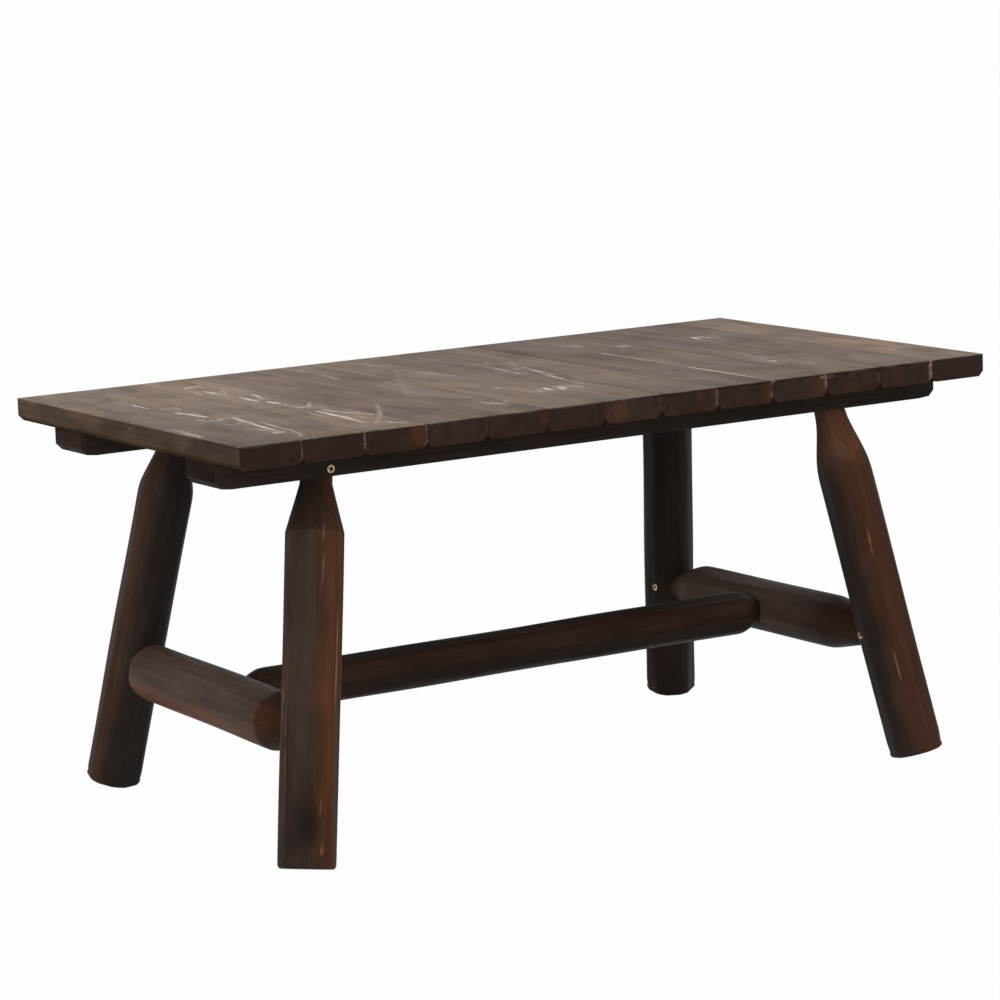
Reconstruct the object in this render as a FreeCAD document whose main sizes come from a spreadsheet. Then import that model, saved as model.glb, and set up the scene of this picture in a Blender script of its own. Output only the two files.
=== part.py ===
# Low rustic bench: cross boards on two rails, four coned log legs and an H of log stretchers.
# Frame: X along the length, -Y to the front, Z up, origin on the floor under the middle of the top.
import FreeCAD, Part
import math
import os

import Sketcher
from FreeCAD import Placement, Rotation, Vector

doc = FreeCAD.newDocument("log_bench")

# Driving sizes in millimetres; a splay is how far a leg's axis runs out from its rail down to the floor,
# the underframe shift is how far the rails and legs stand to the left of the middle of the top,
# the back left setback is how much nearer to the middle the head of that one leg was bored, and
# the front rail overrun is how much further that rail runs to the left than the back one
DRIVING = {
    "overall_height": 450,
    "top_length": 950,
    "top_width": 500,
    "top_thickness": 25,
    "board_count": 13,
    "board_gap": 0.5,
    "board_chamfer": 6,
    "rail_end_inset": 15,
    "rail_edge_inset": 65,
    "rail_width": 62,
    "rail_thickness": 28,
    "rail_bevel": 9,
    "front_rail_overrun": 5,
    "leg_end_inset": 131,
    "underframe_shift": 3.5,
    "back_left_setback": 2.2,
    "leg_diameter": 60,
    "leg_tenon_diameter": 34,
    "leg_neck_length": 11,
    "leg_cone_length": 50,
    "leg_tenon_gap": 0.5,
    "foot_ease": 3,
    "front_left_splay_along": 81,
    "front_left_splay_across": 85,
    "front_right_splay_along": 57.2,
    "front_right_splay_across": 83.5,
    "back_left_splay_along": 51.4,
    "back_left_splay_across": 101,
    "back_right_splay_along": 48,
    "back_right_splay_across": 77,
    "stretcher_height": 141,
    "cross_diameter": 60,
    "cross_tenon_diameter": 32,
    "cross_tenon_depth": 40,
    "cross_cone_length": 45,
    "back_left_cone_length": 18,
    "long_diameter": 48,
    "long_tenon_diameter": 28,
    "long_tenon_depth": 36,
    "long_cone_length": 18,
    "shoulder_gap": 0.5,
    "tenon_clearance": 0.15,
    "screw_length": 40,
    "screw_diameter": 4.5,
    "screw_tip_length": 6,
    "screw_tip_diameter": 0.8,
    "screw_head_diameter": 8.6,
    "screw_head_rim": 0.5,
    "screw_recess_length": 4.8,
    "screw_recess_width": 1.1,
    "screw_recess_depth": 1.4,
    "screw_sink": 0.5,
    "screw_clearance": 0.1,
    "board_screw_inset": 7,
    "rail_screw_rise": 8,
    "leg_screw_inset": 10,
    "cut_overrun": 5,
}


def fill_sheet(name, values):
    """Make a sheet with one named number in each row."""
    sheet = doc.addObject("Spreadsheet::Sheet", name)
    for row, (alias, value) in enumerate(values.items(), start=1):
        sheet.set(f"A{row}", alias)
        sheet.set(f"B{row}", str(value))
        sheet.setAlias(f"B{row}", alias)
    doc.recompute()
    return sheet


sizes = fill_sheet("sizes", DRIVING)


def size(name):
    return float(sizes.get(name))


# Heights and places that follow from the driving sizes
boards_underside = size("overall_height") - size("top_thickness")
rail_underside = boards_underside - size("rail_thickness")
rail_middle = boards_underside - size("rail_thickness") / 2
board_count = int(size("board_count"))
board_pitch = (size("top_length") + size("board_gap")) / board_count
board_width = board_pitch - size("board_gap")
rail_length = size("top_length") - 2 * size("rail_end_inset")
rail_pitch = size("top_width") - 2 * size("rail_edge_inset") - size("rail_width")
leg_pitch = rail_length - 2 * size("leg_end_inset")
leg_radius = size("leg_diameter") / 2
cross_radius = size("cross_diameter") / 2

UP = Vector(0, 0, 1)
DOWN = Vector(0, 0, -1)

# Which way each leg stands from the middle, along X and across Y
CORNERS = {
    "front_left": Vector(-1, -1, 0),
    "front_right": Vector(1, -1, 0),
    "back_left": Vector(-1, 1, 0),
    "back_right": Vector(1, 1, 0),
}


def leg_slope(corner):
    """Run of the leg's axis, outwards and down, for each millimetre of drop."""
    side = CORNERS[corner]
    along = size(f"{corner}_splay_along") / rail_middle
    across = size(f"{corner}_splay_across") / rail_middle
    return Vector(side.x * along, side.y * across, -1)


def leg_point(corner, height):
    """Point of the leg's axis at a height; the axis crosses the middle of its rail."""
    side = CORNERS[corner]
    reach = leg_pitch / 2 - (size("back_left_setback") if corner == "back_left" else 0)
    head = Vector(side.x * reach - size("underframe_shift"), side.y * rail_pitch / 2, rail_middle)
    return head + leg_slope(corner) * (rail_middle - height)


def unit(vector):
    return Vector(vector).normalize()


def shoulder_distance(radius, tenon_diameter, cosine):
    """How far from a log's axis a square shoulder clears that log, which leans from square."""
    sine = math.sqrt(1 - cosine * cosine)
    return (radius + tenon_diameter / 2 * sine) / cosine + size("shoulder_gap")


# Lengths worked out for each log, kept in a second sheet so that the logs are bound to them
rail_overruns = {"front": size("front_rail_overrun"), "back": 0}
layout_values = {"board_width": board_width}
for rail, overrun in rail_overruns.items():
    layout_values[f"{rail}_rail_length"] = rail_length + overrun
leg_feet = {}
for corner in CORNERS:
    slope = leg_slope(corner)
    cosine = 1 / slope.Length
    sine = math.sqrt(1 - cosine * cosine)
    foot_height = (leg_radius - size("foot_ease")) * sine
    tip_height = boards_underside - size("leg_tenon_gap") - size("leg_tenon_diameter") / 2 * sine
    neck_start = (rail_underside - foot_height) / cosine - size("leg_neck_length")
    layout_values[f"{corner}_length"] = (tip_height - foot_height) / cosine
    layout_values[f"{corner}_neck_start"] = neck_start
    layout_values[f"{corner}_cone_start"] = neck_start - size("leg_cone_length")
    leg_feet[corner] = leg_point(corner, foot_height)

cross_reach = size("cross_tenon_depth") - leg_radius
cross_ends = {}
for side_name in ("left", "right"):
    front = leg_point(f"front_{side_name}", size("stretcher_height"))
    back = leg_point(f"back_{side_name}", size("stretcher_height"))
    axis = unit(back - front)
    cross_ends[side_name] = (front, back, axis)
    layout_values[f"{side_name}_cross_length"] = (back - front).Length + 2 * cross_reach
    for place, corner in (("front", f"front_{side_name}"), ("back", f"back_{side_name}")):
        square_to_leg = unit(leg_slope(corner)).cross(axis).Length
        shoulder = shoulder_distance(leg_radius, size("cross_tenon_diameter"), square_to_leg)
        layout_values[f"{side_name}_cross_{place}_shoulder"] = shoulder + cross_reach

long_reach = size("long_tenon_depth") - cross_radius
long_middles = {}
for side_name, (front, back, axis) in cross_ends.items():
    long_middles[side_name] = front - axis * (front.y / axis.y)
    shoulder = shoulder_distance(cross_radius, size("long_tenon_diameter"), abs(axis.y))
    layout_values[f"long_{side_name}_shoulder"] = shoulder + long_reach
long_span = long_middles["right"] - long_middles["left"]
long_axis = unit(long_span)
layout_values["long_length"] = long_span.Length + 2 * long_reach

layout = fill_sheet("layout", layout_values)


def lay_along(start, direction):
    """Placement that stands a piece, made upright at the origin, at a point along a direction."""
    return Placement(start, Rotation(UP, direction))


def new_sketch(body, plane_role):
    """Sketch on one of the body's own origin planes."""
    sketch = body.newObject("Sketcher::SketchObject", f"{body.Name}_outline")
    plane = next(item for item in body.Origin.OriginFeatures if item.Role == plane_role)
    sketch.AttachmentSupport = [(plane, "")]
    sketch.MapMode = "FlatFace"
    return sketch


def draw_outline(sketch, points):
    """Closed polygon through (across, up) pairs of expressions; zero lies on the sketch's axis."""
    places = [Vector(*(sketch.evalExpression(part) for part in pair), 0) for pair in points]
    count = len(places)
    for number, place in enumerate(places):
        sketch.addGeometry(Part.LineSegment(place, places[(number + 1) % count]), False)
    for number in range(count):
        sketch.addConstraint(Sketcher.Constraint("Coincident", number, 2, (number + 1) % count, 1))
    for number, (pair, place) in enumerate(zip(points, places)):
        for kind, part, distance, axis_line in zip(("DistanceX", "DistanceY"), pair, place, (-2, -1)):
            if part == "0":
                sketch.addConstraint(Sketcher.Constraint("PointOnObject", number, 1, axis_line))
            else:
                tie = sketch.addConstraint(Sketcher.Constraint(kind, -1, 1, number, 1, distance))
                sketch.setExpression(f"Constraints[{tie}]", part)


def pad_body(name, points, depth):
    """Body padded towards +Y from an outline in the XZ plane."""
    body = doc.addObject("PartDesign::Body", name)
    sketch = new_sketch(body, "XZ_Plane")
    draw_outline(sketch, points)
    pad = body.newObject("PartDesign::Pad", f"{name}_pad")
    pad.Profile = sketch
    pad.Reversed = True
    pad.setExpression("Length", depth)
    return body


def turned_body(name, stations):
    """Body turned about Z from (radius, height) pairs of expressions, closed along its axis."""
    body = doc.addObject("PartDesign::Body", name)
    sketch = new_sketch(body, "XZ_Plane")
    bottom = ("0", stations[0][1])
    top = ("0", stations[-1][1])
    draw_outline(sketch, [bottom, *stations, top])
    turning = body.newObject("PartDesign::Revolution", f"{name}_turning")
    turning.Profile = sketch
    turning.ReferenceAxis = (sketch, ["V_Axis"])
    turning.Angle = 360
    return body


def cut_away(label, blank, tools):
    """Cut a group of tools out of a blank."""
    cut = doc.addObject("Part::Cut", label)
    cut.Base = blank
    cut.Tool = tools
    return cut


def placed_copies(name, pattern, placements):
    """One node of separate solids: a copy of the pattern at each placement."""
    copies = []
    for placement in placements:
        copy = pattern.Shape.copy()
        copy.Placement = placement
        copies.append(copy)
    group = doc.addObject("Part::Feature", name)
    group.Shape = Part.makeCompound(copies)
    return group


def bore(name, start, direction, diameter, depth):
    """Round mortise, wider than its tenon by the clearance all round."""
    hole = doc.addObject("Part::Cylinder", name)
    hole.setExpression("Radius", f"sizes.{diameter} / 2 + sizes.tenon_clearance")
    hole.Height = depth
    hole.Placement = lay_along(start, direction)
    return hole


sub_parts = []


def keep(piece, label):
    """Name a finished piece as a sub-part."""
    piece.Label = label
    sub_parts.append(piece)
    return piece


# Wood screw, turned upside down with its tip at the origin and its head on top
HEAD_CONE = "(sizes.screw_head_diameter - sizes.screw_diameter) / 2"
screw_blank = turned_body("screw_blank", [
    ("sizes.screw_tip_diameter / 2", "0"),
    ("sizes.screw_diameter / 2", "sizes.screw_tip_length"),
    ("sizes.screw_diameter / 2", f"sizes.screw_length - sizes.screw_head_rim - {HEAD_CONE}"),
    ("sizes.screw_head_diameter / 2", "sizes.screw_length - sizes.screw_head_rim"),
    ("sizes.screw_head_diameter / 2", "sizes.screw_length"),
])
recess_slots = []
for number, (length, width) in enumerate((("length", "width"), ("width", "length"))):
    slot = doc.addObject("Part::Box", f"screw_slot_{number}")
    slot.setExpression("Length", f"sizes.screw_recess_{length}")
    slot.setExpression("Width", f"sizes.screw_recess_{width}")
    slot.setExpression("Height", "sizes.screw_recess_depth + sizes.cut_overrun")
    slot.setExpression("Placement.Base.x", f"-sizes.screw_recess_{length} / 2")
    slot.setExpression("Placement.Base.y", f"-sizes.screw_recess_{width} / 2")
    slot.setExpression("Placement.Base.z", "sizes.screw_length - sizes.screw_recess_depth")
    recess_slots.append(slot)
recess = doc.addObject("Part::MultiFuse", "screw_recess")
recess.Shapes = recess_slots
screw = cut_away("screw_pattern", screw_blank, recess)

# The hole that takes it: the same form with the clearance all round, open above the head
screw_hole = turned_body("screw_hole_pattern", [
    ("sizes.screw_diameter / 2 + sizes.screw_clearance", "0"),
    ("sizes.screw_diameter / 2 + sizes.screw_clearance",
     f"sizes.screw_length - sizes.screw_head_rim - {HEAD_CONE} - sizes.screw_clearance"),
    ("sizes.screw_head_diameter / 2 + sizes.screw_clearance",
     "sizes.screw_length - sizes.screw_head_rim - sizes.screw_clearance"),
    ("sizes.screw_head_diameter / 2 + sizes.screw_clearance", "sizes.screw_length + sizes.cut_overrun"),
])
doc.recompute()


def screw_place(head, outwards):
    """Placement of a screw whose head lies at a point and faces outwards."""
    return lay_along(head - outwards * size("screw_length"), outwards)


# Screw places: two under each board, by the rails' inner edges and so clear of the leg tenons,
# and one at each rail mortise, leg mortise and long tenon
board_middles = [
    (board_width - size("top_length")) / 2 + number * board_pitch for number in range(board_count)
]
rail_sides = {"front": -1, "back": 1}
board_screw_reach = (rail_pitch - size("rail_width")) / 2 + size("board_screw_inset")
board_screw_places = {
    rail: [screw_place(Vector(x, side * board_screw_reach, rail_underside), DOWN) for x in board_middles]
    for rail, side in rail_sides.items()
}
rail_lock_places = {}
leg_lock_places = {}
for corner, side in CORNERS.items():
    screw_height = rail_underside + size("rail_screw_rise")
    rail_face = side.y * (rail_pitch + size("rail_width")) / 2
    rail_head = Vector(leg_point(corner, screw_height).x, rail_face, screw_height)
    rail_lock_places[corner] = screw_place(rail_head, Vector(0, side.y, 0))
    middle = leg_point(corner, size("stretcher_height"))
    inwards = Vector(-side.x, 0, 0)
    inset = size("leg_screw_inset")
    skin = math.sqrt(leg_radius * leg_radius - inset * inset) - size("screw_sink")
    leg_head = middle + inwards * skin - Vector(0, side.y * inset, 0)
    leg_lock_places[corner] = screw_place(leg_head, inwards)
long_lock_places = {
    side_name: screw_place(middle + DOWN * (cross_radius - size("screw_sink")), DOWN)
    for side_name, middle in long_middles.items()
}

# Top boards, chamfered along both lower edges
for number, middle in enumerate(board_middles, start=1):
    label = f"top_board_{number:02d}"
    blank = pad_body(f"{label}_blank", [
        ("sizes.board_chamfer", "0"),
        ("layout.board_width - sizes.board_chamfer", "0"),
        ("layout.board_width", "sizes.board_chamfer"),
        ("layout.board_width", "sizes.top_thickness"),
        ("0", "sizes.top_thickness"),
        ("0", "sizes.board_chamfer"),
    ], "sizes.top_width")
    blank.Placement = Placement(
        Vector(middle - board_width / 2, -size("top_width") / 2, boards_underside), Rotation())
    places = [board_screw_places[rail][number - 1] for rail in rail_sides]
    holes = placed_copies(f"{label}_holes", screw_hole, places)
    keep(cut_away(f"{label}_cut", blank, holes), label)

# Rails under the boards, bevelled at their lower ends, with a sloping mortise for each leg
for rail, side in rail_sides.items():
    label = f"{rail}_rail"
    blank = pad_body(f"{label}_blank", [
        ("sizes.rail_bevel", "0"),
        (f"layout.{label}_length - sizes.rail_bevel", "0"),
        (f"layout.{label}_length", "sizes.rail_bevel"),
        (f"layout.{label}_length", "sizes.rail_thickness"),
        ("0", "sizes.rail_thickness"),
        ("0", "sizes.rail_bevel"),
    ], "sizes.rail_width")
    rail_start = -rail_length / 2 - size("underframe_shift") - rail_overruns[rail]
    blank.Placement = Placement(
        Vector(rail_start, (side * rail_pitch - size("rail_width")) / 2, rail_underside), Rotation())
    corners = [corner for corner in CORNERS if corner.startswith(rail)]
    mortises = doc.addObject("Part::MultiFuse", f"{label}_mortises")
    bores = []
    for corner in corners:
        upwards = -leg_slope(corner)
        reach = size("rail_thickness") / 2 + size("leg_diameter")
        start = leg_point(corner, rail_middle - reach)
        depth = 2 * reach * upwards.Length
        bores.append(bore(f"{corner}_mortise", start, upwards, "leg_tenon_diameter", depth))
    mortises.Shapes = bores
    mortised = cut_away(f"{label}_mortised", blank, mortises)
    places = board_screw_places[rail] + [rail_lock_places[corner] for corner in corners]
    holes = placed_copies(f"{label}_holes", screw_hole, places)
    keep(cut_away(f"{label}_cut", mortised, holes), label)

# Log legs: square foot with an eased rim, round log, cone, neck and tenon
for corner, side in CORNERS.items():
    label = f"{corner}_leg"
    blank = turned_body(f"{label}_blank", [
        ("sizes.leg_diameter / 2 - sizes.foot_ease", "0"),
        ("sizes.leg_diameter / 2", "sizes.foot_ease"),
        ("sizes.leg_diameter / 2", f"layout.{corner}_cone_start"),
        ("sizes.leg_tenon_diameter / 2", f"layout.{corner}_neck_start"),
        ("sizes.leg_tenon_diameter / 2", f"layout.{corner}_length"),
    ])
    blank.Placement = lay_along(leg_feet[corner], -leg_slope(corner))
    front, back, axis = cross_ends[corner.split("_")[1]]
    into_leg = axis * side.y
    middle = leg_point(corner, size("stretcher_height"))
    depth = cross_reach + size("tenon_clearance") + size("leg_diameter")
    mortise = bore(f"{label}_mortise", middle - into_leg * size("leg_diameter"), into_leg,
                   "cross_tenon_diameter", depth)
    mortised = cut_away(f"{label}_mortised", blank, mortise)
    holes = placed_copies(f"{label}_holes", screw_hole, [rail_lock_places[corner], leg_lock_places[corner]])
    keep(cut_away(f"{label}_cut", mortised, holes), label)

# Cross stretchers between the legs of each end, coned down to a tenon in each leg
for side_name, (front, back, axis) in cross_ends.items():
    label = f"{side_name}_cross_stretcher"
    length = f"layout.{side_name}_cross_length"
    front_shoulder = f"layout.{side_name}_cross_front_shoulder"
    back_shoulder = f"layout.{side_name}_cross_back_shoulder"
    back_cone = "sizes.back_left_cone_length" if side_name == "left" else "sizes.cross_cone_length"
    blank = turned_body(f"{label}_blank", [
        ("sizes.cross_tenon_diameter / 2", "0"),
        ("sizes.cross_tenon_diameter / 2", front_shoulder),
        ("sizes.cross_diameter / 2", f"{front_shoulder} + sizes.cross_cone_length"),
        ("sizes.cross_diameter / 2", f"{length} - {back_shoulder} - {back_cone}"),
        ("sizes.cross_tenon_diameter / 2", f"{length} - {back_shoulder}"),
        ("sizes.cross_tenon_diameter / 2", length),
    ])
    blank.Placement = lay_along(front - axis * cross_reach, axis)
    outwards = long_axis * (-1 if side_name == "left" else 1)
    depth = long_reach + size("tenon_clearance") + size("cross_diameter")
    mortise = bore(f"{label}_mortise", long_middles[side_name] - outwards * size("cross_diameter"), outwards,
                   "long_tenon_diameter", depth)
    mortised = cut_away(f"{label}_mortised", blank, mortise)
    places = [leg_lock_places[f"front_{side_name}"], leg_lock_places[f"back_{side_name}"]]
    holes = placed_copies(f"{label}_holes", screw_hole, places + [long_lock_places[side_name]])
    keep(cut_away(f"{label}_cut", mortised, holes), label)

# Long stretcher between the middles of the cross stretchers
long_blank = turned_body("long_stretcher_blank", [
    ("sizes.long_tenon_diameter / 2", "0"),
    ("sizes.long_tenon_diameter / 2", "layout.long_left_shoulder"),
    ("sizes.long_diameter / 2", "layout.long_left_shoulder + sizes.long_cone_length"),
    ("sizes.long_diameter / 2", "layout.long_length - layout.long_right_shoulder - sizes.long_cone_length"),
    ("sizes.long_tenon_diameter / 2", "layout.long_length - layout.long_right_shoulder"),
    ("sizes.long_tenon_diameter / 2", "layout.long_length"),
])
long_blank.Placement = lay_along(long_middles["left"] - long_axis * long_reach, long_axis)
long_holes = placed_copies("long_stretcher_holes", screw_hole, list(long_lock_places.values()))
keep(cut_away("long_stretcher_cut", long_blank, long_holes), "long_stretcher")

# Screws, one node for each row of like ones
screw_rows = {
    "front_rail_board_screws": board_screw_places["front"],
    "back_rail_board_screws": board_screw_places["back"],
    "rail_lock_screws": list(rail_lock_places.values()),
    "leg_lock_screws": list(leg_lock_places.values()),
    "long_stretcher_lock_screws": list(long_lock_places.values()),
}
for label, places in screw_rows.items():
    keep(placed_copies(f"{label}_group", screw, places), label)

doc.recompute()

for item in doc.Objects:
    if "Invalid" in item.State or "Error" in item.State:
        raise RuntimeError(f"{item.Label} did not build: {item.State}")
for piece in sub_parts:
    if piece.Shape.isNull() or not piece.Shape.isValid():
        raise RuntimeError(f"{piece.Label} has no valid shape")

os.makedirs("parts", exist_ok=True)
for piece in sub_parts:
    piece.Shape.exportStep(f"parts/{piece.Label}.step")
    print(f"{piece.Label}: {len(piece.Shape.Solids)} solids, {piece.Shape.Volume / 1000:.1f} cm3")
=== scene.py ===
# %% [markdown]
# A low rustic bench in dark stained pine. Thirteen short boards lie side by side on two flat rails,
# four peeled logs splay out below the rails, and three more logs tie the legs together. The measured
# solids are loaded first. They fix where everything is, so no finer piece has to be fitted by eye.

# %% Load the measured bench
import math

import bmesh
import bpy
import numpy as np
from mathutils import Matrix, Vector
from mathutils.bvhtree import BVHTree


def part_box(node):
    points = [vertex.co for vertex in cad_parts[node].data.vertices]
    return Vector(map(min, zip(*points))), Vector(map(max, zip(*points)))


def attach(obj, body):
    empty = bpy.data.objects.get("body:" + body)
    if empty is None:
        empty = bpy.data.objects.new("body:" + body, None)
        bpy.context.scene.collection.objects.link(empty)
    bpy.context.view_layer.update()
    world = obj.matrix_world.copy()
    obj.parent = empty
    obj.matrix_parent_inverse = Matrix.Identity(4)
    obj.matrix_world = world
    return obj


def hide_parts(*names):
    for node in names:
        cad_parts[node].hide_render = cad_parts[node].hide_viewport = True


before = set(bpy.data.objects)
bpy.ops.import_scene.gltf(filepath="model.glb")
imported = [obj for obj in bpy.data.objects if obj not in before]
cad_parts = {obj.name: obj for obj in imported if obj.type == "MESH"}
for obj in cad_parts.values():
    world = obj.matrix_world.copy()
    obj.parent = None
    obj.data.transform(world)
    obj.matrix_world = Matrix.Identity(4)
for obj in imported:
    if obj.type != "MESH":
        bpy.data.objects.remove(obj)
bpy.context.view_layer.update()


def add(name, data):
    """Puts a new object in the scene."""
    thing = bpy.data.objects.new(name, data)
    bpy.context.scene.collection.objects.link(thing)
    return thing


# %% [markdown]
# The camera stands where the photograph was taken: in front of the bench, to its left and a little
# above it, with a long lens. A camera could be aimed with a tracking constraint, but the small roll
# of the picture would be lost, so its three axes are worked out and written into its matrix.

# %% Camera
CAMERA_PLACE = Vector((-2.28734, -3.57047, 1.01766))
CAMERA_TURN = math.radians(-32.504)
CAMERA_DIP = math.radians(9.465)
CAMERA_ROLL = math.radians(1.9971)
LENS_MM, SENSOR_MM = 139.16, 36

ahead = Vector((
    -math.sin(CAMERA_TURN) * math.cos(CAMERA_DIP),
    math.cos(CAMERA_TURN) * math.cos(CAMERA_DIP),
    -math.sin(CAMERA_DIP),
))
level = Vector((math.cos(CAMERA_TURN), math.sin(CAMERA_TURN), 0))
below = ahead.cross(level)
right = math.cos(CAMERA_ROLL) * level + math.sin(CAMERA_ROLL) * below
down = math.cos(CAMERA_ROLL) * below - math.sin(CAMERA_ROLL) * level

lens = bpy.data.cameras.new("camera")
lens.sensor_width = SENSOR_MM
lens.lens = LENS_MM
camera = add("camera", lens)
camera_axes = Matrix((right, -down, -ahead)).transposed().to_4x4()
camera.matrix_world = Matrix.Translation(CAMERA_PLACE) @ camera_axes
bpy.context.scene.camera = camera
print("camera looks along", ahead)

# %% [markdown]
# Materials are built from nodes. Adding a node, setting its sockets and linking it takes several
# lines each time, so one helper does all three: a plain value is set on the socket, and the output
# of another node is linked to it. The small helpers after it name the few sums that wood needs.

# %% Helpers for node materials
def put(tree, kind, sockets=None, **settings):
    """Adds a shader node, then sets or links its sockets."""
    node = tree.nodes.new("ShaderNode" + kind)
    for name, value in settings.items():
        setattr(node, name, value)
    for key, value in (sockets or {}).items():
        socket = node.inputs[key]
        if isinstance(value, bpy.types.NodeSocket):
            tree.links.new(value, socket)
        else:
            socket.default_value = (*value, 1) if socket.type == "RGBA" else value
    return node


def sum_of(tree, operation, first, second=0.0, third=0.0):
    return put(tree, "Math", {0: first, 1: second, 2: third}, operation=operation).outputs[0]


def fade(tree, value, start, end, low=0.0, high=1.0):
    """Goes smoothly from low to high while the value goes from start to end."""
    sockets = {0: value, 1: start, 2: end, 3: low, 4: high}
    return put(tree, "MapRange", sockets, interpolation_type="SMOOTHSTEP").outputs[0]


def tint(tree, share, first, second, way="MIX"):
    """Mixes two colours; a share of 1 gives the second."""
    sockets = {0: share, 6: first, 7: second}
    return put(tree, "Mix", sockets, data_type="RGBA", blend_type=way).outputs[2]


def cloud(tree, place, per_metre, detail=2.0, swirl=0.0):
    """Noise from 0 to 1, with its own number of lumps to the metre along each axis."""
    stretched = put(tree, "Mapping", {"Vector": place, "Scale": per_metre}).outputs[0]
    settings = {"Vector": stretched, "Scale": 1.0, "Detail": detail, "Distortion": swirl}
    return put(tree, "TexNoise", settings).outputs[0]


def fact(tree, name, kind="Fac"):
    """Reads a value that was stored on the points of the mesh."""
    return put(tree, "Attribute", attribute_name=name).outputs[kind]


def speckle(tree, colour, noise, start, end, depth):
    """Makes a colour darker and lighter by a share, where a noise is low and high."""
    return tint(tree, 1.0, colour, fade(tree, noise, start, end, 1 - depth, 1 + depth), "MULTIPLY")


def empty_material(name):
    material = bpy.data.materials.new(name)
    material.use_nodes = True
    material.node_tree.nodes.clear()
    return material, material.node_tree


print("node helpers ready")

# %% [markdown]
# The bench was photographed in a white studio. The floor is a pale sheet that takes the soft shadow,
# and most of what the camera sees of it is plain white, mixed in for camera, mirror and glass rays
# only. That keeps the background white without pouring more light on the dark wood.

# %% Floor and background
FLOOR_SIDE = 240.0
FLOOR_WHITE = 0.97
SKY_FILL = 0.36


def seen_directly(tree):
    """1 for rays from the camera, or reflected or passed on to it, and 0 for light on the bench."""
    path = put(tree, "LightPath").outputs
    seen = sum_of(tree, "MAXIMUM", path["Is Camera Ray"], path["Is Glossy Ray"])
    return sum_of(tree, "MAXIMUM", seen, path["Is Transmission Ray"])


floor_paper, tree = empty_material("floor_paper")
mottle = cloud(tree, put(tree, "TexCoord").outputs["Object"], (3.0, 3.0, 3.0))
paper_colour = tint(tree, mottle, (0.80, 0.80, 0.80), (0.84, 0.84, 0.84))
paper = put(tree, "BsdfDiffuse", {"Color": paper_colour}).outputs[0]
white = put(tree, "Emission", {"Color": (1, 1, 1), "Strength": 1.0}).outputs[0]
share = sum_of(tree, "MULTIPLY", seen_directly(tree), FLOOR_WHITE)
sheet = put(tree, "MixShader", {0: share, 1: paper, 2: white}).outputs[0]
put(tree, "OutputMaterial", {"Surface": sheet})

floor_mesh = bpy.data.meshes.new("floor")
half = FLOOR_SIDE / 2
floor_corners = [(-half, -half, 0), (half, -half, 0), (half, half, 0), (-half, half, 0)]
floor_mesh.from_pydata(floor_corners, [], [(0, 1, 2, 3)])
floor_mesh.materials.append(floor_paper)
floor = add("floor", floor_mesh)

world = bpy.data.worlds.new("studio")
bpy.context.scene.world = world
world.use_nodes = True
tree = world.node_tree
tree.nodes.clear()
strength = fade(tree, seen_directly(tree), 0.0, 1.0, SKY_FILL, 1.0)
sky = put(tree, "Background", {"Color": (1, 1, 1), "Strength": strength}).outputs[0]
put(tree, "OutputWorld", {"Surface": sky})
bpy.context.scene.view_settings.view_transform = "Standard"
print("floor", FLOOR_SIDE, "m square")

# %% [markdown]
# Three soft boxes light the bench. The large one at the left front gives the grey sheen on the left
# of the logs and on the left end of the top, one overhead lights the boards, and a weak one from the
# right keeps the right front leg from going black.

# %% Soft boxes
def soft_box(name, place, target, width, height, watts):
    lamp = bpy.data.lights.new(name, "AREA")
    lamp.shape = "RECTANGLE"
    lamp.size = width
    lamp.size_y = height
    lamp.energy = watts
    box = add(name, lamp)
    box.location = place
    box.rotation_euler = (Vector(target) - Vector(place)).to_track_quat("-Z", "Y").to_euler()


soft_box("left_box", (-2.9, -1.7, 1.5), (0, 0, 0.25), 1.6, 1.8, 50)
soft_box("top_box", (-0.3, 0.2, 2.6), (0, 0, 0.4), 2.4, 1.8, 24)
soft_box("right_box", (2.4, -2.6, 1.4), (0, 0, 0.25), 1.4, 1.4, 22)
print("three soft boxes")

# %% [markdown]
# Every wooden piece is skinned over a stack of closed loops, like ribs of a boat: a board is its
# section repeated, a log is its circle repeated. Scaled cubes and cylinders would lack the eased edges,
# flats and cones of hand work. Values stored on the points say where each point was in the tree, so that
# grain runs through to the ends, and where the surface is worn, burnt or ruddy.

# %% Helper that skins loops
# Edges that turn by more degrees than this are kept crisp
SHARP_EDGE = 38


def skin(name, loops, facts):
    """A closed mesh over each stack of loops of points, with named values stored on the points."""
    loops = np.asarray(loops, dtype=float)
    faces = []
    for index in np.arange(loops.size // 3).reshape(-1, *loops.shape[-3:-1]):
        after = np.roll(index, -1, axis=1)
        quads = np.stack([index[:-1], after[:-1], after[1:], index[1:]], axis=-1).reshape(-1, 4)
        faces += quads.tolist() + [index[0].tolist(), index[-1].tolist()]
    mesh = bpy.data.meshes.new(name)
    mesh.from_pydata(loops.reshape(-1, 3).tolist(), [], faces)
    for fact_name, values in facts.items():
        values = np.asarray(values, dtype=np.float32)
        kind, key = ("FLOAT_VECTOR", "vector") if values.ndim == 3 else ("FLOAT", "value")
        mesh.attributes.new(fact_name, kind, "POINT").data.foreach_set(key, values.ravel())
    shell = bmesh.new()
    shell.from_mesh(mesh)
    bmesh.ops.recalc_face_normals(shell, faces=shell.faces)
    shell.to_mesh(mesh)
    shell.free()
    mesh.polygons.foreach_set("use_smooth", [True] * len(mesh.polygons))
    mesh.set_sharp_from_angle(angle=math.radians(SHARP_EDGE))
    return add(name, mesh)


def dress(piece, material, slot, *nodes):
    """Gives a piece its finish, and puts it in the place of the solids it stands for."""
    piece.data.materials.append(material)
    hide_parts(*nodes)
    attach(piece, "root")


print("skin helper ready")

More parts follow.
